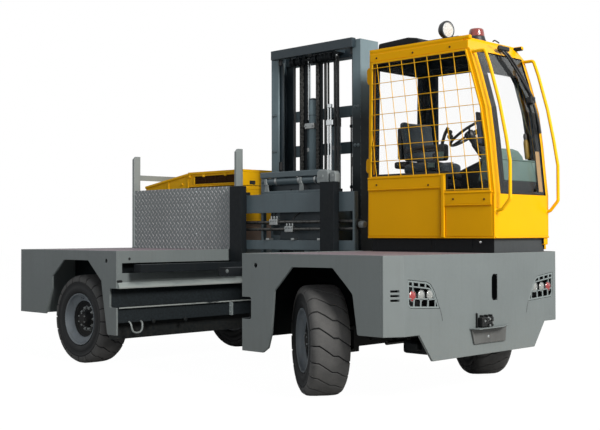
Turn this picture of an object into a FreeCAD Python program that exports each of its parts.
import FreeCAD, Part
import math
import os

# Sideloader: a forklift truck whose mast stands in a well between two load decks and lifts from the side.
# Millimetres. +X towards the cab end, -Y towards the load side, +Z up, ground at z = 0.
# The origin lies on the ground, midway along the chassis and midway across it.

V = FreeCAD.Vector
X_DIR, Y_DIR, Z_DIR = V(1, 0, 0), V(0, 1, 0), V(0, 0, 1)

# ---------------------------------------------------------------- driving dimensions
# chassis
REAR_LENGTH = 1678.0          # rear end to the well
WELL_LENGTH = 1731.0          # mast well, along X
FRONT_LENGTH = 1562.0         # well to the front fascia
WIDTH = 2332.0                # over the side plates
DECK_HEIGHT = 1100.0          # load deck above the ground
PLATE = 20.0                  # side, end and well plates
FRAME_WALL = 12.0             # inner frame boxes
DECK_THICK = 24.0             # deck plate with its boards
DECK_STEP = 4.0               # deck boards below the plate edges
DECK_SEAM_GAP = 30.0          # deck seam from the load stop and the cab
REAR_SKIRT_Z = 458.0          # lower edge of the rear plates
FRONT_SKIRT_Z = 518.0         # lower edge of the front plates
LEG_Z = 315.0                 # lower edge of the plates beside the well
TONGUE_Z = 315.0              # lower edge of the fascia's middle
TONGUE_TOP_HALF = 852.0
TONGUE_LOW_HALF = 692.0
CORNER_SETBACK = 80.0         # how far the fascia's corners sweep back
CORNER_WIDTH = 137.0
ARCH_TOP = 1005.0             # top of the wheel arches
LAMP_Y, LAMP_RADIUS, LAMP_PROUD = 950.0, 48.0, 40.0     # round rear lamps
POD_DEPTH = 80.0              # headlamp trays behind the fascia
# lamp openings in the fascia, as (y, z)
LAMP_OPENING = ((985, 742), (985, 926), (760, 903), (718, 886), (668, 830), (604, 697), (958, 716))
VENT_HALF = 8.0               # half the height of a vent slot
LASHING_RADIUS = 20.0         # lashing holes in the side plates

# reach rails in the well walls
RAIL_TOP = 748.0              # inside of the upper flange
RAIL_BOTTOM = 575.0           # inside of the lower flange
RAIL_DEPTH = 106.0            # well wall to the web
RAIL_FLANGE = 12.0
RAIL_LIP = 22.0               # flange edge, proud of the well wall
WALL_LOW = 805.0              # lower edge of the upper well wall
SILL_Z = 427.0                # lower edge of the beam under the rail
BACK_PLATE_Z = 266.0          # lower edge of the rear section's plate behind the rail
SLOT_LOW, SLOT_HIGH = 890.0, 984.0     # hose slot in the well walls
SLOT_END_GAP = 66.0           # slot end from the side plate's outer face
SLOT_LENGTH = 1560.0
FAR_BEAM_DEPTH = 100.0        # beam along the far side of the well

# wheels and axles
TYRE_RADIUS = 430.0
TYRE_WIDTH = 300.0
RIM_RADIUS = 250.0
RIM_WALL = 15.0
SEAT_GAP = 0.3                # parts that only touch
PIN_GAP = 0.05                # running fit, on radius
REAR_AXLE_BACK = 1022.0       # rear axle from the rear end
FRONT_AXLE_BACK = 806.0       # king pins from the front end
REAR_TRACK = 1980.0           # between the rear tyre centres
KING_PIN_SPAN = 1620.0        # between the king pins
KING_PIN_OFFSET = 170.0       # king pin to the tyre's centre
STEER = 34.0                  # front wheels as parked, turned towards the load side
SPINDLE_RADIUS = 40.0
KING_PIN_RADIUS = 25.0
AXLE_HALF = 60.0              # axle beam, half its depth and height
POT_RADIUS, POT_LENGTH, POT_Y = 150.0, 380.0, -300.0    # gear casing on the rear axle
YOKE_GAP = 150.0              # between the yoke plates
YOKE_PLATE = 25.0
FRAME_HALF_REAR = 800.0       # inner frame of the rear section
FRAME_HALF_FRONT = 430.0      # inner frame of the front section
FRAME_LOW = 500.0             # underside of the inner frames

# load stop, hood and battery
STOP_Y = 250.0                # load side face of the load stop
STOP_TOP = 2135.0
STOP_POST = 30.0
STOP_POST_DEPTH = 90.0
STOP_POST_BACK = 80.0         # front post stands further back, clear of the forks
PANEL_TOP = 1745.0
PANEL_THICK = 8.0
STOP_RAIL_Z = 1865.0
STOP_RAIL_HEIGHT = 60.0
HOOD_Y = 425.0                # load side face of the hood
HOOD_FAR_GAP = 66.0           # hood from the far side of the chassis
HOOD_TOP = 1925.0
HOOD_SHEET = 12.0
FRONT_PANEL_LOW = 1360.0      # lower edge of the hood's panel at the well
LID_LOW = 1762.0              # lower edge of the lid
HOOD_EDGE_GAP = 4.0           # hood from the well's edge
HINGE_RADIUS, HINGE_PIN, HINGE_LENGTH = 11.0, 5.0, 60.0
HOOD_REAR_GAP = 26.0          # hood from the rear end
HOOD_REAR_TOP = 1795.0        # hood height at its rear
LID_LENGTH = 880.0
JOINT_GAP = 6.0               # between a lid or door and its frame
BATTERY_LENGTH = 760.0
BATTERY_TOP = 1780.0

# cab
CAB_Y = 250.0                 # load side face of the cab
CAB_WIDTH = 818.0
CAB_REAR = 124.0              # cab's rear foot from the well
CAB_LENGTH = 1352.0           # cab floor, rear to front
CAB_LEAN = 28.0               # rear edge leans forward by this at the roof
CAB_LOW = 1215.0
CAB_EAVES = 2885.0            # top edge of the side walls
CAB_ROOF = 2905.0
BROW = 100.0                  # height of the front edge over the windscreen
BROW_BACK = 320.0             # roof's front edge from the cab's front
PILLAR_WIDTH = 85.0           # front pillar on the load side
PILLAR_DEPTH = 28.0
CAB_WALL = 40.0
SILL_STEP = 1745.0            # lower edge of the rear part of the side window
SILL_FRONT = 1600.0           # lower edge of its front part
SILL_STEP_X = 850.0           # step from the cab's rear
WINDOW_TOP = 2788.0
SCREEN_LOW = 1580.0
GLASS = 6.0
GLASS_GAP = 0.3
FLOOR_THICK = 40.0
SEAT_HEIGHT, SEAT_BACK, SEAT_THICK = 640.0, 385.0, 120.0
GUARD_WIRE = 6.0
GUARD_PITCH = 139.0
GUARD_LEAN = 7.3
RAIL_TUBE = 14.0              # handrail radius
HANDRAIL_PROUD = 134.0        # handrail from the cab's front
LAMP_TURN = 20.0              # work light, turned towards the load side

# mast
MAST_FRONT = 590.0            # load side face of the outer mast
MAST_HALF = 610.0             # half its width
MAST_DEPTH = 230.0
MAST_TOP = 3115.0
MAST_FOOT = 350.0
UPRIGHT_WIDTH = 100.0
UPRIGHT_WEB = 16.0
UPRIGHT_FLANGE = 20.0
MAST_GAP = 9.0                # between outer and inner uprights
TIE_DEPTH = 34.0              # ties across the back of the inner mast
INNER_WIDTH = 110.0
INNER_FLANGE = 18.0
CROSS_DEPTH = 30.0
CHAIN_X = 108.0
LIFT_ROD_X = 190.0
LIFT_CYLINDER_RADIUS = 45.0
LIFT_ROD_RADIUS = 25.0
FREE_CYLINDER_RADIUS = 42.0
CHAIN_SHIFT = -98.0           # chains and free-lift cylinder from the middle of the mast
SIDE_PLATE_GAP = 22.0         # reach carriage from the well wall
SIDE_PLATE = 20.0
REACH_ROLLER_RADIUS = 80.0
REACH_ROLLER_WIDTH = 80.0

# fork frame and forks
FORK_FRONT = 220.0            # load side face of the fork shanks
FORK_WIDTH = 175.0
FORK_SHANK = 70.0
FORK_BLADE = 72.0
FORK_LENGTH = 1320.0
FORK_TOP = 972.0              # top of the blades
FORK_SHANK_TOP = 1740.0
FORK_WALL_GAP = 20.0          # rear fork from the well wall
FORK_FRONT_GAP = 267.5        # front fork from the well wall
BAR_LOW = (1100.0, 1192.0)
BAR_HIGH = (1463.0, 1646.0)
BAR_DEPTH = 55.0
FRAME_RUN = 5.0               # fork back to the bars
TOP_FRAME_Z = (1660.0, 1870.0)          # open frame over the upper bar, for the spreader cylinder
TOP_FRAME_BACK, TOP_FRAME_AHEAD = 514.0, 332.0
TILT_Z = 1150.0
TILT_Y = 395.0
TILT_X = 250.0                # tilt pins from the middle of the mast
CARRIAGE_Z = (1090.0, 1480.0) # lift carriage, lowered

# ---------------------------------------------------------------- derived places
LENGTH = REAR_LENGTH + WELL_LENGTH + FRONT_LENGTH
REAR_X = -LENGTH / 2
FRONT_X = LENGTH / 2
WELL_REAR = REAR_X + REAR_LENGTH
WELL_FRONT = FRONT_X - FRONT_LENGTH
WELL_MID = (WELL_REAR + WELL_FRONT) / 2
HALF = WIDTH / 2
REAR_AXLE_X = REAR_X + REAR_AXLE_BACK
FRONT_AXLE_X = FRONT_X - FRONT_AXLE_BACK
DECK_TOP = DECK_HEIGHT - DECK_STEP
DECK_LOW = DECK_TOP - DECK_THICK
CAB_BACK = WELL_FRONT + CAB_REAR
CAB_FAR = CAB_Y + CAB_WIDTH
CAB_FRONT = CAB_BACK + CAB_LENGTH


# ---------------------------------------------------------------- helpers
def box(x, y, z):
    """A block from (low, high) pairs along each axis."""
    return Part.makeBox(x[1] - x[0], y[1] - y[0], z[1] - z[0], V(x[0], y[0], z[0]))


def cylinder(start, direction, radius, length):
    """A round bar from a point, along a direction."""
    return Part.makeCylinder(radius, length, start, direction)


def slab(points, direction):
    """A flat outline extruded along a vector."""
    return Part.Face(Part.makePolygon(points + points[:1])).extrude(direction)


def side_slab(outline, y_low, y_high):
    """An outline of (x, z) points extruded from y_low to y_high."""
    return slab([V(x, y_low, z) for x, z in outline], V(0, y_high - y_low, 0))


def front_slab(outline, x_low, x_high):
    """An outline of (y, z) points extruded from x_low to x_high."""
    return slab([V(x_low, y, z) for y, z in outline], V(x_high - x_low, 0, 0))


def plan_slab(outline, z_low, z_high):
    """An outline of (x, y) points extruded from z_low to z_high."""
    return slab([V(x, y, z_low) for x, y in outline], V(0, 0, z_high - z_low))


def join(shapes):
    """One solid from pieces that touch or overlap."""
    return shapes[0].multiFuse(shapes[1:]).removeSplitter()


def mirror_y(shape):
    """The same shape on the other side of the truck."""
    return shape.mirror(V(0, 0, 0), Y_DIR)


def turn(shape, angle, centre, axis=Z_DIR):
    """A copy of a shape turned about an axis through a point."""
    copy = shape.copy()
    copy.rotate(centre, axis, angle)
    return copy


def move(shape, x=0.0, y=0.0, z=0.0):
    """A copy of a shape moved along the axes."""
    copy = shape.copy()
    copy.translate(V(x, y, z))
    return copy


def bent_tube(points, bend, radius):
    """A round bar through points, with an arc of the bend radius at each corner."""
    edges = []
    last = points[0]
    for before, corner, after in zip(points, points[1:], points[2:]):
        into = (corner - before).normalize()
        out = (after - corner).normalize()
        turn_half = into.getAngle(out) / 2
        reach = bend * math.tan(turn_half)
        start = corner - into * reach
        end = corner + out * reach
        inward = (out - into).normalize()
        middle = corner + inward * (bend / math.cos(turn_half) - bend)
        edges += [Part.LineSegment(last, start).toShape(), Part.Arc(start, middle, end).toShape()]
        last = end
    edges.append(Part.LineSegment(last, points[-1]).toShape())
    section = Part.Wire(Part.Circle(points[0], (points[1] - points[0]).normalize(), radius).toShape())
    return Part.Wire(edges).makePipeShell([section], True, True)


def save(node, *solids):
    """Write the solids of one node."""
    shape = solids[0] if len(solids) == 1 else Part.makeCompound(list(solids))
    if not shape.isValid():
        raise ValueError("bad solid in " + node)
    shape.exportStep("parts/" + node + ".step")
    room = shape.BoundBox
    spans = ((room.XMin, room.XMax), (room.YMin, room.YMax), (room.ZMin, room.ZMax))
    print(node, len(shape.Solids), round(shape.Volume / 1e9, 5), [(round(a), round(b)) for a, b in spans])


os.makedirs("parts", exist_ok=True)


# ---------------------------------------------------------------- chassis plates
def rear_arch():
    """Octagonal opening over a rear wheel, as (x, z) points about its axle."""
    return [(x + REAR_AXLE_X, z) for x, z in (
        (-548, REAR_SKIRT_Z), (-433, 707), (-429, 839), (-219, ARCH_TOP),
        (197, ARCH_TOP), (417, 816), (445, 654), (512, 330), (525, LEG_Z))]


def front_arch():
    """Octagonal opening over a front wheel, from the well side forwards."""
    return [(x + FRONT_AXLE_X, z) for x, z in (
        (-516, LEG_Z), (-455, 355), (-418, 466), (-384, 810), (-188, ARCH_TOP - 6),
        (238, ARCH_TOP - 3), (376, 874), (436, 814), (481, 526), (495, FRONT_SKIRT_Z))]


def side_plates():
    """Right plates in two pieces beside the well, and the left plate in one length."""
    notch = [(0, RAIL_BOTTOM - 5), (RAIL_DEPTH - 12, RAIL_BOTTOM - 5), (RAIL_DEPTH, RAIL_BOTTOM + 7),
             (RAIL_DEPTH, RAIL_TOP - 11), (RAIL_DEPTH - 12, RAIL_TOP + 1), (0, RAIL_TOP + 1)]
    rear = [(REAR_X, DECK_HEIGHT), (REAR_X, REAR_SKIRT_Z)] + rear_arch()
    rear_notched = rear + [(WELL_REAR, LEG_Z)] + [(WELL_REAR - x, z) for x, z in notch]
    front_end = FRONT_X - CORNER_SETBACK - PLATE
    front = front_arch() + [(front_end, FRONT_SKIRT_Z), (front_end, DECK_HEIGHT)]
    front_notched = [(WELL_FRONT + x, z) for x, z in reversed(notch)] + [(WELL_FRONT, LEG_Z)] + front
    right_rear = side_slab(rear_notched + [(WELL_REAR, DECK_HEIGHT)], -HALF, -HALF + PLATE)
    right_front = side_slab(front_notched + [(WELL_FRONT, DECK_HEIGHT)], -HALF, -HALF + PLATE)
    lashing = [(REAR_AXLE_X + 496, ARCH_TOP), (FRONT_AXLE_X - 598, ARCH_TOP)]
    for x, z in lashing:
        hole = cylinder(V(x, -HALF - 1, z), Y_DIR, LASHING_RADIUS, PLATE + 2)
        right_rear = right_rear.cut(hole)
        right_front = right_front.cut(hole)
    beside_well = [(WELL_REAR, LEG_Z), (WELL_REAR, SILL_Z), (WELL_FRONT, SILL_Z), (WELL_FRONT, LEG_Z)]
    left = side_slab(rear + beside_well + front, HALF - PLATE, HALF)
    save("right_side_plates", right_rear, right_front)
    save("left_side_plate", left)


def rear_end_plate():
    """Plate across the rear, between the side plates, with two round lamp holes."""
    inner = HALF - PLATE
    plate = box((REAR_X, REAR_X + PLATE), (-inner, inner), (REAR_SKIRT_Z, DECK_HEIGHT))
    for y in (-LAMP_Y, LAMP_Y):
        plate = plate.cut(cylinder(V(REAR_X - 1, y, 940), X_DIR, LAMP_RADIUS, PLATE + 2))
    save("rear_end_plate", plate)
    lamps = [cylinder(V(REAR_X - LAMP_PROUD, y, 940), X_DIR, LAMP_RADIUS - SEAT_GAP, LAMP_PROUD + PLATE + 30)
             for y in (-LAMP_Y, LAMP_Y)]
    save("rear_lamps", *lamps)


def fascia():
    """Bent plate across the front, with swept corners, lamp openings, vents and a lower tongue."""
    back = FRONT_X - CORNER_SETBACK
    inner = HALF - CORNER_WIDTH
    outside = [(back, -HALF), (FRONT_X, -inner), (FRONT_X, inner), (back, HALF)]
    outline = outside + [(x - PLATE, y) for x, y in reversed(outside)]
    plate = plan_slab(outline, TONGUE_Z, DECK_HEIGHT)
    for side in (-1, 1):
        below = [(side * (HALF + 1), TONGUE_Z - 1), (side * TONGUE_LOW_HALF, TONGUE_Z - 1),
                 (side * TONGUE_TOP_HALF, FRONT_SKIRT_Z), (side * (HALF + 1), FRONT_SKIRT_Z)]
        lamp = [(side * y, z) for y, z in LAMP_OPENING]
        plate = plate.cut(front_slab(below, back - 50, FRONT_X + 5))
        plate = plate.cut(front_slab(lamp, FRONT_X - PLATE - 5, FRONT_X + 5))
        for row in range(3):
            z = 778 + row * 33
            across = tuple(sorted((side * 1058, side * 1118)))
            plate = plate.cut(box((back - 50, FRONT_X + 5), across, (z - VENT_HALF, z + VENT_HALF)))
    plate = plate.cut(box((FRONT_X - PLATE - 5, FRONT_X + 5), (87, 153), (727, 934)))
    save("front_fascia", plate)
    pods = []
    for side in (-1, 1):
        x = (FRONT_X - PLATE - POD_DEPTH, FRONT_X - PLATE)
        tray = box(x, tuple(sorted((side * 590, side * 996))), (680, 945))
        pods.append(tray.cut(box((x[0] + 6, x[1] + 1), tuple(sorted((side * 596, side * 990))), (686, 939))))
    save("lamp_pods", *pods)


def decks():
    """Load decks between the plates, each in an open part and a part behind the load's place."""
    inner = HALF - PLATE
    open_y = STOP_Y - DECK_SEAM_GAP
    z = (DECK_LOW, DECK_TOP)
    rear_x = (REAR_X + PLATE, WELL_REAR - PLATE)
    save("rear_deck", box(rear_x, (-inner, open_y), z), box(rear_x, (open_y, inner), z))
    front = FRONT_X - PLATE
    setback = front - CORNER_SETBACK
    corner = HALF - CORNER_WIDTH
    start = WELL_FRONT + PLATE
    near = [(start, -inner), (setback, -inner), (front, -corner), (front, open_y), (start, open_y)]
    far = [(start, open_y), (front, open_y), (front, corner), (setback, inner), (start, inner)]
    save("front_deck", plan_slab(near, *z), plan_slab(far, *z))


def well_wall(wall_x, away):
    """Upper wall of the well with its long hose slot; away is +1 or -1, out of the well."""
    inner = HALF - PLATE
    x = tuple(sorted((wall_x, wall_x + away * PLATE)))
    plate = box(x, (-inner, inner), (WALL_LOW, DECK_HEIGHT))
    start = -HALF + SLOT_END_GAP
    slot = box((x[0] - 1, x[1] + 1), (start, start + SLOT_LENGTH), (SLOT_LOW, SLOT_HIGH))
    return plate.cut(slot)


def reach_rail(wall_x, away):
    """C-section the reach carriage rolls in, its sloped cap, and the closed beam under it."""
    web = wall_x + away * RAIL_DEPTH
    back = web + away * RAIL_FLANGE
    lip = wall_x - away * RAIL_LIP
    beam = wall_x + away * 12
    outline = [(wall_x, WALL_LOW), (lip, RAIL_TOP + RAIL_FLANGE), (lip, RAIL_TOP), (web, RAIL_TOP),
               (web, RAIL_BOTTOM), (lip, RAIL_BOTTOM), (lip, RAIL_BOTTOM - RAIL_FLANGE),
               (beam, RAIL_BOTTOM - RAIL_FLANGE), (beam, SILL_Z), (back, SILL_Z),
               (back, RAIL_TOP + RAIL_FLANGE), (wall_x + away * PLATE, WALL_LOW)]
    return side_slab(outline, -HALF + PLATE, HALF - PLATE)


def well_sides():
    """Both walls and both rails of the well."""
    save("well_walls", well_wall(WELL_REAR, -1), well_wall(WELL_FRONT, 1))
    save("reach_rails", reach_rail(WELL_REAR, -1), reach_rail(WELL_FRONT, 1))


def frame_box(x_low, x_high, half, rail_back, towards, plate_low):
    """Inner frame: walls and floor of a box under the deck, and the deep plate behind the rail."""
    shell = box((x_low, x_high), (-half, half), (FRAME_LOW, DECK_LOW))
    hollow = box((x_low + FRAME_WALL, x_high - FRAME_WALL), (-half + FRAME_WALL, half - FRAME_WALL),
                 (FRAME_LOW + FRAME_WALL, DECK_LOW + 1))
    inner = HALF - PLATE
    plate_x = tuple(sorted((rail_back, rail_back + towards * PLATE)))
    back_plate = box(plate_x, (-inner, inner), (plate_low, DECK_LOW))
    return join([shell.cut(hollow), back_plate])


def frames():
    """Inner frames of the rear and front sections, with outriggers to the side plates."""
    depth = RAIL_DEPTH + RAIL_FLANGE
    rear = frame_box(REAR_X + PLATE, WELL_REAR - depth, FRAME_HALF_REAR, WELL_REAR - depth, -1, BACK_PLATE_Z)
    arch = REAR_AXLE_X - 560
    ribs = [box((arch - FRAME_WALL, arch), tuple(sorted((s * FRAME_HALF_REAR, s * (HALF - PLATE)))),
                (REAR_SKIRT_Z + 10, DECK_LOW)) for s in (-1, 1)]
    pot_room = box((REAR_AXLE_X - POT_RADIUS - 15, REAR_AXLE_X + POT_RADIUS + 15),
                   (POT_Y - 15, POT_Y + POT_LENGTH + 15), (FRAME_LOW - 1, FRAME_LOW + FRAME_WALL + 1))
    save("rear_frame", join([rear] + ribs).cut(pot_room))
    front_wall = FRONT_X - PLATE
    front = frame_box(WELL_FRONT + depth, front_wall, FRAME_HALF_FRONT, WELL_FRONT + depth, 1, SILL_Z)
    slot_room = box((front_wall - FRAME_WALL - 1, front_wall + 1), (72, 168), (700, 950))
    save("front_frame", front.cut(slot_room))


def far_beam():
    """Closed beam that joins the two sections along the far side of the well."""
    y = (HALF - PLATE - FAR_BEAM_DEPTH, HALF - PLATE)
    shell = box((WELL_REAR + RAIL_LIP, WELL_FRONT - RAIL_LIP), y, (SILL_Z + 20, DECK_LOW))
    cap = box((WELL_REAR, WELL_FRONT), y, (WALL_LOW + 15, DECK_TOP))
    save("far_beam", join([shell, cap]))


# ---------------------------------------------------------------- axles and wheels
def rear_axle():
    """Beam between the rear wheels with round spindles and two seats under the frame."""
    spindle_in = REAR_TRACK / 2 - TYRE_WIDTH / 2 - 30
    x, z = REAR_AXLE_X, TYRE_RADIUS
    beam = box((x - AXLE_HALF, x + AXLE_HALF), (-spindle_in, spindle_in), (z - AXLE_HALF, z + AXLE_HALF))
    seats = [box((x - 110, x + 110), tuple(sorted((s * 520, s * 680))), (z + AXLE_HALF - 5, FRAME_LOW))
             for s in (-1, 1)]
    spindle = cylinder(V(x, -REAR_TRACK / 2 - 90, z), Y_DIR, SPINDLE_RADIUS, REAR_TRACK + 180)
    pot = cylinder(V(x, POT_Y, z), Y_DIR, POT_RADIUS, POT_LENGTH)
    save("rear_axle", join([beam, spindle, pot] + seats))


def front_axle():
    """Steer axle: beam, yokes, king pins, steering cylinder and a saddle under the frame."""
    x, z = FRONT_AXLE_X, TYRE_RADIUS
    pin_y = KING_PIN_SPAN / 2
    web_out = pin_y - 85
    beam = box((x - AXLE_HALF, x + AXLE_HALF), (-web_out, web_out), (z - AXLE_HALF, z + AXLE_HALF))
    saddle = box((x - 100, x + 100), (-260, 260), (z + AXLE_HALF - 5, FRAME_LOW))
    pieces = [beam, saddle]
    for s in (-1, 1):
        web = box((x - AXLE_HALF, x + AXLE_HALF), tuple(sorted((s * (web_out - 60), s * web_out))),
                  (z - YOKE_GAP / 2 - YOKE_PLATE, z + YOKE_GAP / 2 + YOKE_PLATE))
        pieces.append(web)
        for low in (z - YOKE_GAP / 2 - YOKE_PLATE, z + YOKE_GAP / 2):
            arm = box((x - AXLE_HALF, x + AXLE_HALF), tuple(sorted((s * (web_out - 10), s * pin_y))),
                      (low, low + YOKE_PLATE))
            eye = cylinder(V(x, s * pin_y, low), Z_DIR, AXLE_HALF, YOKE_PLATE)
            pieces += [arm, eye]
        pieces.append(cylinder(V(x, s * pin_y, z - YOKE_GAP / 2 - YOKE_PLATE - 8), Z_DIR, KING_PIN_RADIUS,
                               YOKE_GAP + 2 * YOKE_PLATE + 16))
    barrel = cylinder(V(x + AXLE_HALF + 34, -270, z), Y_DIR, 40, 540)
    rod = cylinder(V(x + AXLE_HALF + 34, -560, z), Y_DIR, 18, 1120)
    bracket = box((x + AXLE_HALF - 5, x + AXLE_HALF + 30), (-200, 200), (z - 30, z + 30))
    save("front_axle", join(pieces + [barrel, rod, bracket]))


def knuckle():
    """Steering knuckle with its spindle, about a king pin at the origin, spindle towards -Y."""
    height = YOKE_GAP - 2 * SEAT_GAP
    barrel = cylinder(V(0, 0, -height / 2), Z_DIR, 48, height)
    spindle = cylinder(V(0, -30, 0), -Y_DIR, SPINDLE_RADIUS, KING_PIN_OFFSET + 60)
    bore = cylinder(V(0, 0, -height), Z_DIR, KING_PIN_RADIUS + PIN_GAP, 2 * height)
    return join([barrel, spindle]).cut(bore)


def tyre():
    """Solid tyre about the origin, axis along Y, with rounded shoulders and a slight crown."""
    half, shoulder, inner = TYRE_WIDTH / 2, 34.0, RIM_RADIUS + SEAT_GAP
    outline = [(inner, -half + 22), (inner + 30, -half), (TYRE_RADIUS - shoulder - 6, -half),
               (TYRE_RADIUS - 6, -half + shoulder), (TYRE_RADIUS, -half + 95), (TYRE_RADIUS, half - 95),
               (TYRE_RADIUS - 6, half - shoulder), (TYRE_RADIUS - shoulder - 6, half), (inner + 30, half),
               (inner, half - 22)]
    face = Part.Face(Part.makePolygon([V(r, y, 0) for r, y in outline + outline[:1]]))
    return face.revolve(V(0, 0, 0), Y_DIR, 360)


def rim():
    """Dished steel wheel about the origin, its face towards -Y, bored to run on a spindle."""
    half = TYRE_WIDTH / 2
    bore = SPINDLE_RADIUS + PIN_GAP
    outline = [(bore, -112), (66, -112), (78, -96), (78, -62), (120, -46), (RIM_RADIUS - 46, -20),
               (RIM_RADIUS - RIM_WALL - 12, -40), (RIM_RADIUS - RIM_WALL, -half + 30),
               (RIM_RADIUS - RIM_WALL, -half + 8), (RIM_RADIUS, -half + 8), (RIM_RADIUS, half - 24),
               (RIM_RADIUS - RIM_WALL, half - 24), (RIM_RADIUS - RIM_WALL, 5), (RIM_RADIUS - 60, 0),
               (bore, -22)]
    face = Part.Face(Part.makePolygon([V(r, y, 0) for r, y in outline + outline[:1]]))
    return face.revolve(V(0, 0, 0), Y_DIR, 360)


def wheels():
    """Four wheels and two knuckles at their places, the front ones turned as parked."""
    z = TYRE_RADIUS
    for side, name in ((-1, "right"), (1, "left")):
        shapes = {"tyre": tyre(), "rim": rim(), "knuckle": knuckle()}
        if side == 1:
            shapes = {key: mirror_y(shape) for key, shape in shapes.items()}
        for key in ("tyre", "rim"):
            save("rear_" + key + "_" + name, move(shapes[key], REAR_AXLE_X, side * REAR_TRACK / 2, z))
        pin = V(FRONT_AXLE_X, side * KING_PIN_SPAN / 2, z)
        wheel_y = side * (KING_PIN_SPAN / 2 + KING_PIN_OFFSET)
        for key in ("tyre", "rim"):
            straight = move(shapes[key], FRONT_AXLE_X, wheel_y, z)
            save("front_" + key + "_" + name, turn(straight, -STEER, pin))
        save("knuckle_" + name, turn(move(shapes["knuckle"], pin.x, pin.y, pin.z), -STEER, pin))


# ---------------------------------------------------------------- load stop, battery and hood
def load_stop():
    """Wall across the rear deck: two flat posts, a chequer panel, ribs, and a rail round the hood."""
    y = (STOP_Y, STOP_Y + STOP_POST_DEPTH)
    chamfer = 32.0
    outline = [(y[0], DECK_HEIGHT), (y[1], DECK_HEIGHT), (y[1], STOP_TOP), (y[0] + chamfer, STOP_TOP),
               (y[0], STOP_TOP - chamfer)]
    rear_post = front_slab(outline, REAR_X, REAR_X + STOP_POST)
    front_post = move(front_slab(outline, WELL_REAR - STOP_POST, WELL_REAR), y=STOP_POST_BACK)
    panel_y = (STOP_Y + 14, STOP_Y + 14 + PANEL_THICK)
    panel = box((REAR_X + STOP_POST, WELL_REAR - STOP_POST + 9), panel_y, (DECK_TOP, PANEL_TOP))
    end_rib = box((WELL_REAR - STOP_POST - 10, WELL_REAR - STOP_POST),
                  (panel_y[1], y[0] + STOP_POST_BACK + 60), (DECK_TOP, PANEL_TOP))
    span = WELL_REAR - REAR_X
    ribs = [box((REAR_X + span * k / 3 - 5, REAR_X + span * k / 3 + 5), (panel_y[1], y[1] - 5),
                (DECK_TOP, PANEL_TOP)) for k in (1, 2)]
    far = HALF - HOOD_FAR_GAP
    rail = box((REAR_X, REAR_X + 20), (y[1] - 5, far), (STOP_RAIL_Z, STOP_RAIL_Z + STOP_RAIL_HEIGHT))
    far_post = box((REAR_X, REAR_X + 20), (far - 60, far), (DECK_HEIGHT, STOP_RAIL_Z + 5))
    save("load_stop", join([rear_post, front_post, end_rib, panel, rail, far_post] + ribs))


def battery():
    """Battery on the rear deck, under the lid."""
    far = HALF - HOOD_FAR_GAP
    x = WELL_REAR - HOOD_EDGE_GAP - HOOD_SHEET - 16
    save("battery", box((x - BATTERY_LENGTH, x), (HOOD_Y + HOOD_SHEET + 12, far - HOOD_SHEET - 14),
                        (DECK_TOP, BATTERY_TOP)))


def hood():
    """Fixed cover with a sloping rear part and low walls, and the lid hinged along its far side."""
    t = HOOD_SHEET
    y = (HOOD_Y, HALF - HOOD_FAR_GAP)
    rear_x = REAR_X + HOOD_REAR_GAP
    split = WELL_REAR - LID_LENGTH
    front_x = WELL_REAR - HOOD_EDGE_GAP
    wall_top = LID_LOW - JOINT_GAP
    end = split - JOINT_GAP
    slope = [(rear_x, DECK_TOP), (rear_x, HOOD_REAR_TOP), (end, HOOD_TOP - 10), (end, DECK_TOP)]
    outer = side_slab(slope, *y)
    inside = side_slab([(rear_x + t, DECK_TOP - 1), (rear_x + t, HOOD_REAR_TOP - t),
                        (end - t, HOOD_TOP - 11 - t), (end - t, DECK_TOP - 1)], y[0] + t, y[1] - t)
    near_wall = box((end - t, front_x), (y[0], y[0] + t), (DECK_HEIGHT, wall_top))
    far_wall = box((end - t, front_x), (y[1] - t, y[1]), (DECK_HEIGHT, wall_top))
    front_wall = box((front_x - t, front_x), y, (FRONT_PANEL_LOW, wall_top))
    hinge_y = y[1] + HINGE_RADIUS
    hinge_z = LID_LOW + HINGE_RADIUS
    barrels = [split + LID_LENGTH * k - HINGE_LENGTH / 2 for k in (0.15, 0.85)]
    fixed_halves = []
    for x in barrels:
        knuckle_half = cylinder(V(x, hinge_y, hinge_z), X_DIR, HINGE_RADIUS, HINGE_LENGTH)
        leaf = box((x, x + HINGE_LENGTH), (y[1], y[1] + 5), (wall_top - 60, hinge_z))
        pin = cylinder(V(x - HINGE_LENGTH, hinge_y, hinge_z), X_DIR, HINGE_PIN, 2 * HINGE_LENGTH)
        fixed_halves += [knuckle_half, leaf, pin]
    save("hood_cover", join([outer.cut(inside), near_wall, far_wall, front_wall] + fixed_halves))
    shell = box((split, front_x), y, (LID_LOW, HOOD_TOP))
    room = box((split - 1, front_x - t), (y[0] + t, y[1] - t), (LID_LOW - 1, HOOD_TOP - t))
    vent = box((split + 97, front_x - 90), (y[0] - 1, y[0] + t + 1), (1795, 1880))
    lid = shell.cut(room).cut(vent)
    moving_halves = []
    for x in barrels:
        start = V(x - HINGE_LENGTH, hinge_y, hinge_z)
        knuckle_half = cylinder(start, X_DIR, HINGE_RADIUS, HINGE_LENGTH - 0.3)
        leaf = box((x - HINGE_LENGTH, x - 0.3), (y[1], y[1] + 5), (hinge_z, hinge_z + 60))
        moving_halves += [knuckle_half, leaf]
    lid = join([lid] + moving_halves)
    for x in barrels:
        start = V(x - HINGE_LENGTH - 1, hinge_y, hinge_z)
        lid = lid.cut(cylinder(start, X_DIR, HINGE_PIN + PIN_GAP, HINGE_LENGTH + 2))
    save("hood_lid", lid)


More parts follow.
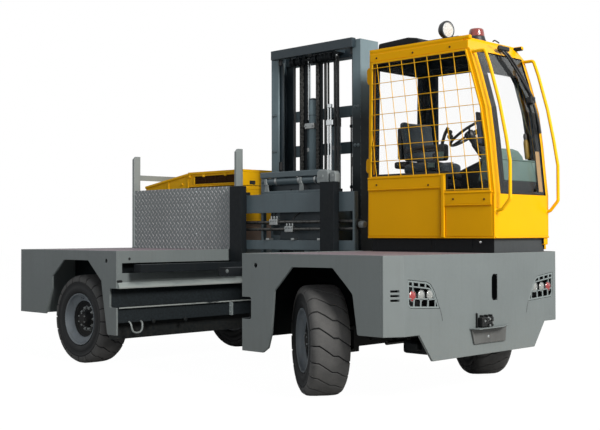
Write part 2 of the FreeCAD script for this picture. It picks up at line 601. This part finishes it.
# ---------------------------------------------------------------- cab
def cab_outline():
    """Side of the cab as (x, z) points, from the rear foot over the roof to the front foot."""
    front = CAB_FRONT
    return [(CAB_BACK, CAB_LOW), (CAB_BACK + CAB_LEAN, CAB_EAVES), (front - BROW_BACK, CAB_EAVES),
            (front - BROW_BACK + 85, CAB_EAVES - BROW), (front - 166, CAB_EAVES - 310),
            (front - 86, CAB_EAVES - 585), (front - 46, CAB_EAVES - 870), (front - 20, CAB_EAVES - 1125),
            (front, SCREEN_LOW), (front, CAB_LOW)]


def window_outline():
    """Window in the load side wall, stepped down towards the front."""
    front = CAB_FRONT
    rear = CAB_BACK + CAB_LEAN
    step = CAB_BACK + SILL_STEP_X
    return [(rear + 8, SILL_STEP), (rear + 28, WINDOW_TOP), (front - 270, WINDOW_TOP), (front - 204, 2575),
            (front - 122, 2300), (front - 76, 2015), (front - 48, 1760), (front - 34, SILL_FRONT),
            (step, SILL_FRONT), (step, SILL_STEP)]


def cab_base():
    """Dark plinth on the deck and the cab floor."""
    plinth = box((CAB_BACK + 30, CAB_FRONT - 30), (CAB_Y + 30, CAB_FAR - 30), (DECK_TOP, CAB_LOW))
    floor = box((CAB_BACK + CAB_WALL + 4, CAB_FRONT - CAB_WALL), (CAB_Y + CAB_WALL, CAB_FAR - CAB_WALL),
                (CAB_LOW, CAB_LOW + FLOOR_THICK))
    save("cab_base", join([plinth, floor]))


def cab_walls():
    """Load side wall, rear wall, front panel, left frame round the door, and the roof."""
    outline = cab_outline()
    right = side_slab(outline, CAB_Y, CAB_Y + CAB_WALL)
    right = right.cut(side_slab(window_outline(), CAB_Y - 1, CAB_Y + CAB_WALL + 1))
    curve = outline[3:9]
    band = curve + [(x - PILLAR_DEPTH, z) for x, z in reversed(curve)]
    save("cab_right_wall", join([right, side_slab(band, CAB_Y + CAB_WALL - 1, CAB_Y + PILLAR_WIDTH)]))
    frame = side_slab(outline, CAB_FAR - CAB_WALL, CAB_FAR)
    frame = frame.cut(side_slab(door_outline(0), CAB_FAR - CAB_WALL - 1, CAB_FAR + 1))
    hinge_x, hinge_y, lows = door_hinges()
    halves = []
    for z in lows:
        halves.append(cylinder(V(hinge_x, hinge_y, z), Z_DIR, HINGE_RADIUS, HINGE_LENGTH))
        halves.append(cylinder(V(hinge_x, hinge_y, z), Z_DIR, HINGE_PIN, 2 * HINGE_LENGTH))
        halves.append(box((hinge_x - 40, hinge_x), (CAB_FAR, CAB_FAR + 5), (z, z + HINGE_LENGTH)))
    save("cab_left_frame", join([frame] + halves))
    inner = (CAB_Y + CAB_WALL, CAB_FAR - CAB_WALL)
    lean = CAB_LEAN / (CAB_EAVES - CAB_LOW)
    rear = [(CAB_BACK + lean * (z - CAB_LOW) + dx, z) for z, dx in
            ((CAB_LOW, 0), (CAB_EAVES, 0), (CAB_EAVES, CAB_WALL), (CAB_LOW, CAB_WALL))]
    wall = side_slab(rear, *inner)
    glass_room = box((CAB_BACK - 10, CAB_BACK + 200), (inner[0] + 60, inner[1] - 60),
                     (SILL_STEP, WINDOW_TOP - 40))
    save("cab_rear_wall", wall.cut(glass_room))
    save("cab_front_panel", box((CAB_FRONT - CAB_WALL, CAB_FRONT), inner, (CAB_LOW, SCREEN_LOW)))
    brow_x = CAB_FRONT - BROW_BACK
    brow = [(brow_x, CAB_EAVES), (brow_x + 85, CAB_EAVES - BROW), (brow_x + 61, CAB_EAVES - BROW),
            (brow_x - 9, CAB_EAVES - 20), (brow_x - 9, CAB_EAVES)]
    plate = plan_slab([(CAB_BACK + CAB_LEAN, CAB_Y), (brow_x, CAB_Y), (brow_x, CAB_FAR),
                       (CAB_BACK + CAB_LEAN, CAB_FAR)], CAB_EAVES, CAB_ROOF)
    save("cab_roof", join([plate, side_slab(brow, *inner)]))


def door_outline(inset):
    """Door opening in the left frame, drawn in by an inset."""
    rear = CAB_BACK + 110 + inset
    front = CAB_FRONT
    return [(rear, CAB_LOW + 50 + inset), (rear, WINDOW_TOP + 20 - inset),
            (front - 330 - inset, WINDOW_TOP + 20 - inset), (front - 245 - inset, 2575),
            (front - 165 - inset, 2300), (front - 120 - inset, 2015), (front - 95 - inset, 1760),
            (front - 85 - inset, CAB_LOW + 50 + inset)]


def door_hinges():
    """Places of the door's hinges: the axis in plan, and the lower end of each hinge's fixed half."""
    return CAB_BACK + 110, CAB_FAR + HINGE_RADIUS, (CAB_LOW + 260, WINDOW_TOP - 320)


def cab_door():
    """Door on the far side: a framed leaf with one large pane, and the moving half of each hinge."""
    y = (CAB_FAR - CAB_WALL, CAB_FAR)
    leaf = side_slab(door_outline(JOINT_GAP), *y)
    pane = [(x, max(z, 1500.0)) for x, z in door_outline(70)]
    leaf = leaf.cut(side_slab(pane, y[0] - 1, y[1] + 1))
    hinge_x, hinge_y, lows = door_hinges()
    halves = []
    for z in lows:
        low = z + HINGE_LENGTH + SEAT_GAP
        halves.append(cylinder(V(hinge_x, hinge_y, low), Z_DIR, HINGE_RADIUS, HINGE_LENGTH))
        halves.append(box((hinge_x, hinge_x + 60), (CAB_FAR, CAB_FAR + 5), (low, low + HINGE_LENGTH)))
    door = join([leaf] + halves)
    for z in lows:
        door = door.cut(cylinder(V(hinge_x, hinge_y, z), Z_DIR, HINGE_PIN + PIN_GAP, 3 * HINGE_LENGTH))
    save("cab_door", door)
    glass = [(x, max(z, 1500.0 + GLASS_GAP)) for x, z in door_outline(70 + GLASS_GAP)]
    save("door_glass", side_slab(glass, y[0] + 17, y[0] + 17 + GLASS))


def cab_glass():
    """Curved windscreen, load side pane and rear pane."""
    inner = (CAB_Y + CAB_WALL + GLASS_GAP, CAB_FAR - CAB_WALL - GLASS_GAP)
    across = (CAB_Y + PILLAR_WIDTH + GLASS_GAP, inner[1])
    curve = [(x, z) for x, z in cab_outline()[3:9]]
    curve[0] = (curve[0][0] - 2, curve[0][1] - GLASS_GAP)
    curve[-1] = (CAB_FRONT, SCREEN_LOW + GLASS_GAP)
    back = [(x - GLASS - 2, z) for x, z in reversed(curve)]
    screen = side_slab([(x - 2, z) for x, z in curve] + back, *across)
    cx = sum(x for x, z in window_outline()) / len(window_outline())
    side = [(x + (GLASS_GAP if x < cx else -GLASS_GAP), z + (GLASS_GAP if z < 2200 else -GLASS_GAP))
            for x, z in window_outline()]
    side_pane = side_slab(side, CAB_Y + 17, CAB_Y + 17 + GLASS)
    lean = CAB_LEAN / (CAB_EAVES - CAB_LOW)
    low, high = SILL_STEP + GLASS_GAP, WINDOW_TOP - 40 - GLASS_GAP
    rear = [(CAB_BACK + lean * (z - CAB_LOW) + dx, z)
            for z, dx in ((low, 17), (high, 17), (high, 17 + GLASS), (low, 17 + GLASS))]
    rear_pane = side_slab(rear, inner[0] + 60, inner[1] - 60)
    save("cab_glass", screen, side_pane, rear_pane)


def window_guard():
    """Wire mesh over the load side window, in a welded edge strip."""
    y = CAB_Y - 3 * GUARD_WIRE
    rear, front = CAB_BACK + CAB_LEAN + 6, CAB_FRONT - 60
    clip = side_slab([(x, z) for x, z in window_outline()], y - 20, CAB_Y - 1)
    wires = []
    z = WINDOW_TOP - 55
    while z > SILL_FRONT:
        wires.append(cylinder(V(rear - 40, y + GUARD_WIRE, z), X_DIR, GUARD_WIRE / 2, front - rear + 90))
        z -= GUARD_PITCH
    lean = math.tan(math.radians(GUARD_LEAN))
    x = rear - 60
    run = V(lean, 0, -1).normalize()
    while x < front + 40:
        start = V(x, y + 2 * GUARD_WIRE - 0.5, WINDOW_TOP + 30)
        wires.append(cylinder(start, run, GUARD_WIRE / 2, WINDOW_TOP - SILL_FRONT + 80))
        x += GUARD_PITCH
    outer = side_slab(window_outline(), CAB_Y - 10, CAB_Y)
    edge = outer.cut(side_slab(inset_window(14), CAB_Y - 11, CAB_Y + 1))
    mesh = join(wires).common(clip)
    save("window_guard", join([mesh, edge]))


def inset_window(inset):
    """The window outline drawn in on every side."""
    wire = Part.makePolygon([V(x, 0, z) for x, z in window_outline() + window_outline()[:1]])
    small = wire.makeOffset2D(-inset, 2)
    points = [v.Point for v in small.OrderedVertexes]
    return [(p.x, p.z) for p in points]


def cab_inside():
    """Seat, dash with steering column and wheel."""
    mid = CAB_Y + CAB_WIDTH / 2
    floor = CAB_LOW + FLOOR_THICK
    x = CAB_BACK + 200
    seat = floor + SEAT_HEIGHT
    top = seat + SEAT_BACK
    base = box((x + 60, x + 420), (mid - 190, mid + 190), (floor, seat - SEAT_THICK))
    cushion = box((x + 20, x + 500), (mid - 240, mid + 240), (seat - SEAT_THICK, seat))
    back = side_slab([(x + 20, seat), (x - 35, top), (x + 85, top), (x + 140, seat)], mid - 220, mid + 220)
    save("driver_seat", join([base, cushion, back]))
    dash_x = CAB_FRONT - CAB_WALL
    cowl = [(dash_x, floor), (dash_x, SCREEN_LOW + 120), (dash_x - 60, SCREEN_LOW + 230),
            (dash_x - 160, SCREEN_LOW + 200), (dash_x - 200, floor + 300), (dash_x - 120, floor)]
    dash = side_slab(cowl, mid - 250, mid + 250)
    hub = V(dash_x - 400, mid, floor + 850)
    foot = V(dash_x - 170, mid, floor + 420)
    along = (hub - foot).normalize()
    column = cylinder(foot, along, 28, (hub - foot).Length)
    ring = Part.makeTorus(190, 13, hub, along)
    spokes = [cylinder(hub - along * 8, V(0, s, 0), 10, 190) for s in (-1, 1)]
    boss = cylinder(hub - along * 14, along, 42, 28)
    save("dash_console", join([dash, column, ring, boss] + spokes))


def cab_fittings():
    """Handrails, work light and beacon, and the unit on the roof."""
    rails = []
    for y, proud in ((CAB_Y + CAB_WALL / 2, HANDRAIL_PROUD), (CAB_FAR - CAB_WALL / 2, HANDRAIL_PROUD - 26)):
        wall = side_slab(cab_outline(), y - CAB_WALL / 2, y + CAB_WALL / 2)
        out = CAB_FRONT + proud
        run = [(CAB_FRONT - 245, 122), (out - 235, 122), (out - 185, 260), (out - 98, 560), (out - 38, 835),
               (out, 1050), (out, 1350), (out - 75, 1435), (CAB_FRONT - 4, 1445)]
        points = [V(x, y, CAB_EAVES - down) for x, down in run]
        rails.append(bent_tube(points, 30.0, RAIL_TUBE).cut(wall))
    save("handrails", *rails)
    light_x, light_y = CAB_FRONT - 550, CAB_Y + 110
    lamp = cylinder(V(light_x - 55, light_y, CAB_ROOF + 92), X_DIR, 78, 75)
    lamp = turn(lamp, -LAMP_TURN, V(light_x - 20, light_y, 0))
    foot = box((light_x - 40, light_x), (light_y - 20, light_y + 20), (CAB_ROOF, CAB_ROOF + 40))
    beacon_x, beacon_y = CAB_FRONT - BROW_BACK - 88, CAB_Y + 345
    base = Part.makeCone(84, 70, 48, V(beacon_x, beacon_y, CAB_ROOF))
    dome = Part.makeCone(70, 62, 68, V(beacon_x, beacon_y, CAB_ROOF + 48))
    save("roof_lamps", join([lamp, foot]), join([base, dome]))
    unit = [(CAB_BACK + 58, CAB_ROOF), (CAB_BACK + 68, CAB_ROOF + 66), (CAB_BACK + 400, CAB_ROOF + 82),
            (CAB_BACK + 505, CAB_ROOF + 62), (CAB_BACK + 580, CAB_ROOF)]
    save("roof_box", side_slab(unit, CAB_Y + 70, CAB_FAR - 170))


# ---------------------------------------------------------------- mast
def channel(outer_x, width, web, flange, y_low, y_high, z, opens):
    """Upright of C-section at a side of the mast, its open side towards opens (+1 or -1 along X)."""
    x = tuple(sorted((outer_x, outer_x + opens * width)))
    hollow_x = tuple(sorted((outer_x + opens * web, outer_x + opens * (width + 1))))
    hollow = box(hollow_x, (y_low + flange, y_high - flange), (z[0] - 1, z[1] + 1))
    return box(x, (y_low, y_high), z).cut(hollow)


def outer_mast():
    """Outer uprights with cross members behind, and the mast foot."""
    y = (MAST_FRONT, MAST_FRONT + MAST_DEPTH)
    z = (MAST_FOOT, MAST_TOP)
    uprights = [channel(WELL_MID + s * MAST_HALF, UPRIGHT_WIDTH, UPRIGHT_WEB, UPRIGHT_FLANGE, *y, z, -s)
                for s in (-1, 1)]
    x = (WELL_MID - MAST_HALF, WELL_MID + MAST_HALF)
    spans = ((MAST_TOP - 130, MAST_TOP), (2413, 2523), (2050, 2165), (1280, 1400),
             (MAST_FOOT, MAST_FOOT + 140))
    cross = [box(x, (y[1], y[1] + CROSS_DEPTH), span) for span in spans]
    foot = box((x[0] + UPRIGHT_WEB, x[1] - UPRIGHT_WEB), (y[0] + UPRIGHT_FLANGE, y[1]),
               (MAST_FOOT, MAST_FOOT + 30))
    save("outer_mast", join(uprights + cross + [foot]))


def lift_cylinders():
    """Two lift cylinders beside the middle of the mast, bored for their rods."""
    y = MAST_FRONT + MAST_DEPTH / 2
    low, high = MAST_FOOT + 30, 2400
    barrels = []
    for s in (-1, 1):
        start = V(WELL_MID + s * LIFT_ROD_X, y, low)
        bore = cylinder(start + V(0, 0, 60), Z_DIR, LIFT_ROD_RADIUS + 5, high - low)
        barrels.append(cylinder(start, Z_DIR, LIFT_CYLINDER_RADIUS, high - low).cut(bore))
    save("lift_cylinders", *barrels)


def inner_mast():
    """Inner uprights, crosshead, lower tie, rods of the lift cylinders, free-lift cylinder and chains."""
    y = (MAST_FRONT + UPRIGHT_FLANGE + MAST_GAP, MAST_FRONT + MAST_DEPTH - UPRIGHT_FLANGE - MAST_GAP)
    half = MAST_HALF - UPRIGHT_WEB - MAST_GAP
    z = (MAST_FOOT + 70, MAST_TOP)
    uprights = [channel(WELL_MID + s * half, INNER_WIDTH, UPRIGHT_WEB, INNER_FLANGE, *y, z, -s)
                for s in (-1, 1)]
    head_y = (MAST_FRONT - 62, MAST_FRONT - 8)
    head = box((WELL_MID - MAST_HALF + 55, WELL_MID + MAST_HALF - 55), head_y,
               (MAST_TOP - 80, MAST_TOP + 10))
    inside = half - INNER_WIDTH + 30
    link = sorted((MAST_HALF - UPRIGHT_WIDTH - MAST_GAP, inside - 40))
    links = [box(tuple(sorted(WELL_MID + s * x for x in link)), (head_y[1] - 5, y[0] + 30),
                 (MAST_TOP - 80, MAST_TOP)) for s in (-1, 1)]
    inner_x = (WELL_MID - half + UPRIGHT_WEB, WELL_MID + half - UPRIGHT_WEB)
    top_tie = box(inner_x, (y[1] - TIE_DEPTH, y[1]), (MAST_TOP - 125, MAST_TOP))
    roof = box((WELL_MID - 260, WELL_MID + 260), (y[0] + 5, y[1] - 30), (MAST_TOP - 75, MAST_TOP - 45))
    low_tie = box(inner_x, (y[1] - TIE_DEPTH, y[1]), (z[0], z[0] + 120))
    rod_y = MAST_FRONT + MAST_DEPTH / 2
    rods = [cylinder(V(WELL_MID + s * LIFT_ROD_X, rod_y, 700), Z_DIR, LIFT_ROD_RADIUS, MAST_TOP - 70 - 700)
            for s in (-1, 1)]
    middle = WELL_MID + CHAIN_SHIFT
    shelf = box((middle - 38, middle + 75), (y[0] + 5, y[1] - 20), (z[0] + 60, z[0] + 90))
    free = cylinder(V(middle, y[0] + 60, z[0] + 80), Z_DIR, FREE_CYLINDER_RADIUS, 2610 - z[0] - 80)
    chains = [box((middle + s * CHAIN_X - 20, middle + s * CHAIN_X + 20), (y[0] + 6, y[0] + 22),
                  (CARRIAGE_Z[1], MAST_TOP - 75)) for s in (-1, 1)]
    save("inner_mast", join(uprights + [head, top_tie, roof, low_tie, shelf, free] + links + rods))
    save("lift_chains", *chains)


def reach_carriage():
    """Carriage that carries the mast on rollers in the rails of the well."""
    rear_face = WELL_REAR + SIDE_PLATE_GAP + RAIL_LIP
    front_face = WELL_FRONT - SIDE_PLATE_GAP - RAIL_LIP
    y = (MAST_FRONT + 10, MAST_FRONT + MAST_DEPTH + CROSS_DEPTH + 140)
    plates = [box((rear_face, rear_face + SIDE_PLATE), y, (SILL_Z + 40, 880)),
              box((front_face - SIDE_PLATE, front_face), y, (SILL_Z + 40, 880))]
    back = MAST_FRONT + MAST_DEPTH + CROSS_DEPTH
    beams = [box((rear_face, front_face), (back, back + 90), (MAST_FOOT, MAST_FOOT + 130)),
             box((rear_face, front_face), (back, back + 90), (740, 880))]
    roller_z = RAIL_BOTTOM + SEAT_GAP + REACH_ROLLER_RADIUS
    rollers = []
    for face, away in ((rear_face, -1), (front_face, 1)):
        for roller_y in (y[0] + 90, y[1] - 90):
            start = V(face, roller_y, roller_z)
            reach = SIDE_PLATE_GAP + RAIL_LIP + 10
            rollers.append(cylinder(start, X_DIR * away, 35, reach + 10))
            rollers.append(cylinder(start + X_DIR * away * reach, X_DIR * away, REACH_ROLLER_RADIUS,
                                    REACH_ROLLER_WIDTH))
    save("reach_carriage", join(plates + beams + rollers))


def lift_carriage():
    """Carriage on rollers in the inner mast, with a front frame that carries the fork frame."""
    half = MAST_HALF - UPRIGHT_WEB - MAST_GAP - INNER_WIDTH - 10
    y = (TILT_Y - 30, MAST_FRONT + MAST_DEPTH / 2 + 70)
    inner_low = MAST_FRONT + UPRIGHT_FLANGE + MAST_GAP + INNER_FLANGE
    inner_high = MAST_FRONT + MAST_DEPTH - UPRIGHT_FLANGE - MAST_GAP - INNER_FLANGE
    radius = (inner_high - inner_low) / 2 - SEAT_GAP
    roller_y = (inner_high + inner_low) / 2
    pieces = []
    for s in (-1, 1):
        face = WELL_MID + s * half
        pieces.append(box(tuple(sorted((face, face - s * 25))), (TILT_Y + 45, y[1]), CARRIAGE_Z))
        for z in (CARRIAGE_Z[0] + 90, CARRIAGE_Z[1] - 85):
            pieces.append(cylinder(V(face - s * 5, roller_y, z), X_DIR * s, 30, 60))
            pieces.append(cylinder(V(face + s * 12, roller_y, z), X_DIR * s, radius, 84))
    span = (WELL_MID - half, WELL_MID + half)
    front = (TILT_Y + 45, TILT_Y + 110)
    pieces.append(box(span, front, (CARRIAGE_Z[0], CARRIAGE_Z[0] + 150)))
    pieces.append(box(span, front, (CARRIAGE_Z[1] - 100, CARRIAGE_Z[1])))
    for s in (-1, 1):
        x = WELL_MID + s * TILT_X
        pieces.append(box((x - 60, x + 60), front, (CARRIAGE_Z[0] + 140, CARRIAGE_Z[1] - 90)))
        lug = box((x - 20, x + 20), (TILT_Y, TILT_Y + 50), (TILT_Z - 45, TILT_Z + 45))
        nose = cylinder(V(x - 20, TILT_Y, TILT_Z), X_DIR, 45, 40)
        pieces += [lug, nose]
    body = join(pieces)
    for s in (-1, 1):
        x = WELL_MID + s * TILT_X
        body = body.cut(cylinder(V(x - 21, TILT_Y, TILT_Z), X_DIR, 20 + PIN_GAP, 42))
    save("lift_carriage", body)


def fork_frame():
    """Tilting frame with the two fork bars, its hinge ears and pins, and the fork spreader cylinder."""
    y = (FORK_FRONT + FORK_SHANK + FRAME_RUN, FORK_FRONT + FORK_SHANK + FRAME_RUN + BAR_DEPTH)
    x = (WELL_REAR + FORK_WALL_GAP, WELL_FRONT - FORK_WALL_GAP - 60)
    bars = [box(x, y, BAR_LOW), box(x, y, BAR_HIGH)]
    behind = (y[1], TILT_Y)
    top_x = (WELL_MID - TOP_FRAME_BACK, WELL_MID + TOP_FRAME_AHEAD)
    posts = [box(span, behind, (BAR_LOW[0] - 180, TOP_FRAME_Z[1])) for span in
             ((top_x[0], top_x[0] + 30), (top_x[1] - 30, top_x[1]))]
    sills = [box(top_x, behind, (z, z + 20)) for z in (TOP_FRAME_Z[0], TOP_FRAME_Z[1] - 20)]
    spreader = cylinder(V(top_x[0] + 10, (behind[0] + behind[1]) / 2 + 4, 1777), X_DIR, 36,
                        top_x[1] - top_x[0] - 20)
    rods = [cylinder(V(x[0], (y[0] + y[1]) / 2, z), X_DIR, 14, x[1] - x[0]) for z in (1300, 1370)]
    ends = [box((x_end, x_end + 20), y, (BAR_LOW[1] - 5, BAR_HIGH[0] + 5)) for x_end in (x[0], x[1] - 20)]
    pieces = bars + posts + sills + [spreader] + rods + ends
    for s in (-1, 1):
        middle = WELL_MID + s * TILT_X
        for side in (-1, 1):
            ear_x = tuple(sorted((middle + side * 22, middle + side * 42)))
            pieces.append(box(ear_x, (y[1] - 5, TILT_Y), (TILT_Z - 40, TILT_Z + 40)))
            pieces.append(cylinder(V(ear_x[0], TILT_Y, TILT_Z), X_DIR, 40, 20))
        pieces.append(cylinder(V(middle - 45, TILT_Y, TILT_Z), X_DIR, 20, 90))
    save("fork_frame", join(pieces))


def fork(middle, bevel):
    """L-shaped fork about its middle line; bevel is the side (+1 or -1 along X) its tip is cut on."""
    half = FORK_WIDTH / 2
    y = (FORK_FRONT, FORK_FRONT + FORK_SHANK)
    low = FORK_TOP - FORK_BLADE
    shank = box((middle - half, middle + half), y, (low, FORK_SHANK_TOP))
    tip = y[1] - FORK_LENGTH
    blade = plan_slab([(middle - bevel * half, y[1]), (middle - bevel * half, tip),
                       (middle + bevel * 20, tip), (middle + bevel * half, tip + 90),
                       (middle + bevel * half, y[1])], low, FORK_TOP)
    back = y[1] + FRAME_RUN
    behind = (y[1] - 5, back - SEAT_GAP)
    hooks = [box((middle - half, middle + half), behind, (BAR_HIGH[0] + 10, BAR_HIGH[1] - 10)),
             box((middle - half + 20, middle + half - 20), behind, (BAR_LOW[0] + 10, BAR_LOW[1] - 10)),
             box((middle - half, middle + half), (y[1] - 5, back + BAR_DEPTH - 5),
                 (BAR_HIGH[1] + SEAT_GAP, BAR_HIGH[1] + 30))]
    return join([shank, blade] + hooks)


def forks():
    """Rear and front fork, both lowered below the deck."""
    rear_mid = WELL_REAR + FORK_WALL_GAP + FORK_WIDTH / 2
    save("fork_rear", fork(rear_mid, -1))
    save("fork_front", fork(WELL_FRONT - FORK_FRONT_GAP - FORK_WIDTH / 2, 1))


def tow_hitch():
    """Tow jaw on the fascia's tongue: a plate with two ears bored for a loose pin."""
    x = FRONT_X
    plate = box((x, x + 16), (-220, 255), (400, 518))
    ears = []
    for low in (416.0, 491.0):
        ears.append(box((x + 10, x + 80), (-62, 98), (low, low + 15)))
    body = join([plate] + ears)
    bore = cylinder(V(x + 52, 18, 405), Z_DIR, 16, 110)
    save("tow_hitch", body.cut(bore))


side_plates()
rear_end_plate()
fascia()
decks()
well_sides()
frames()
far_beam()
rear_axle()
front_axle()
wheels()
load_stop()
battery()
hood()
cab_base()
cab_walls()
cab_door()
cab_glass()
window_guard()
cab_inside()
cab_fittings()
outer_mast()
lift_cylinders()
inner_mast()
reach_carriage()
lift_carriage()
fork_frame()
forks()
tow_hitch()
